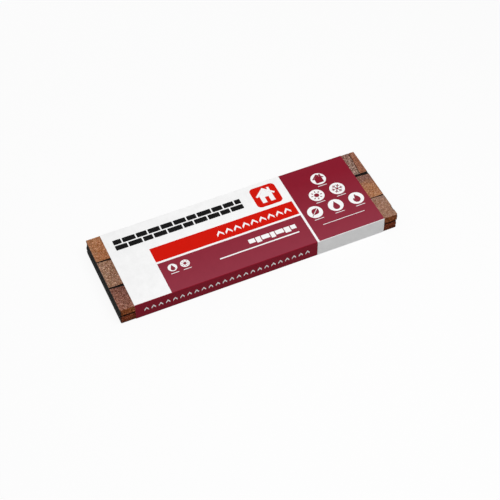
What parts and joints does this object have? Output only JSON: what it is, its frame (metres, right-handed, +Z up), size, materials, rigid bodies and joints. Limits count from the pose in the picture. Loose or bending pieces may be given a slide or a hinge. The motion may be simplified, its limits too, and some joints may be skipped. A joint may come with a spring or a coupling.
{
  "type": "asphalt shingle bundle",
  "caption": "Flat bundle of laminated asphalt shingles held in a glued printed paper sleeve that leaves both ends bare, to lie on a floor, pallet or roof.",
  "frame": {"origin": "middle of the footprint, at floor level", "axes": "+X along the shingles, +Y across them from the front long side to the back one, +Z up"},
  "size_m": [1.004, 0.331, 0.0658],
  "materials": {
    "shingle": "matt ceramic granules on asphalt",
    "wrapper": "smooth printed paper"
  },
  "bodies": {
    "root": {"shingle_01": "shingle", "shingle_02": "shingle", "shingle_03": "shingle", "shingle_04": "shingle", "shingle_05": "shingle", "shingle_06": "shingle", "shingle_07": "shingle", "shingle_08": "shingle", "shingle_09": "shingle", "shingle_10": "shingle", "shingle_11": "shingle", "shingle_12": "shingle", "shingle_13": "shingle", "shingle_14": "shingle", "wrapper": "wrapper"}
  },
  "joints": []
}
